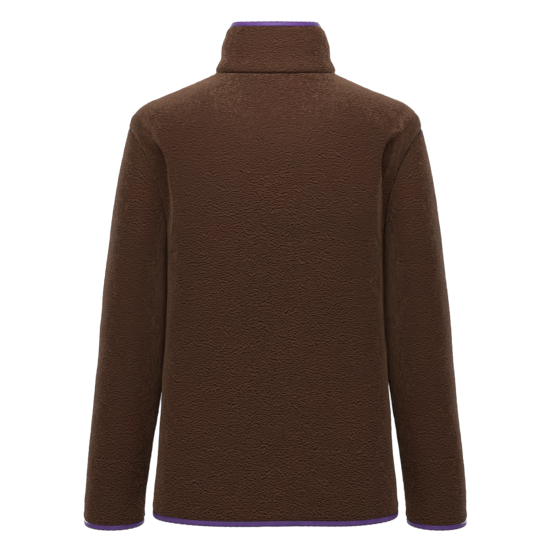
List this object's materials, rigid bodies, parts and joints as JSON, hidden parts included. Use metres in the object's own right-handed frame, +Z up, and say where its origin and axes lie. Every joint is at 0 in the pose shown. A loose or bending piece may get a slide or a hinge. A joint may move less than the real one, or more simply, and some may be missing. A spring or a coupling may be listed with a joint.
{
  "type": "sherpa fleece jacket",
  "caption": "Dark brown short-pile fleece jacket, filled out as worn, with a stand-up collar, a front zip and narrow purple bindings.",
  "frame": {"origin": "middle of the neck opening, level with the collar seam at the centre of the back, where the wearer's neck holds it", "axes": "+Z up along the wearer's neck, the jacket's front faces -Y, the wearer's left is +X"},
  "size_m": [0.5816, 0.273, 0.7571],
  "materials": {
    "fleece": "short curly pile, matt with a light sheen at the edges",
    "binding": "smooth elastic tape, slight sheen",
    "zip_tape": "fine woven tape, matt",
    "zip_teeth": "moulded, satin",
    "zip_metal": "painted dark brown, satin"
  },
  "bodies": {
    "jacket": {"back": "fleece", "front_left": "fleece", "front_right": "fleece", "sleeve_left": "fleece", "sleeve_right": "fleece", "collar": "fleece", "collar_binding": "binding", "hem_binding": "binding", "cuff_binding_left": "binding", "cuff_binding_right": "binding", "zip_tape_left": "zip_tape", "zip_tape_right": "zip_tape", "zip_teeth": "zip_teeth", "zip_box": "zip_teeth", "zip_slider": "zip_metal"},
    "pull_tab": {"zip_pull": "zip_metal"}
  },
  "joints": [
    {"name": "pull_tab_hinge", "type": "hinge", "parent": "jacket", "child": "pull_tab", "pos_m": [0, -0.07422, -0.01582], "axis": [-1, 0, 0], "range_deg": [0, 160]}
  ]
}
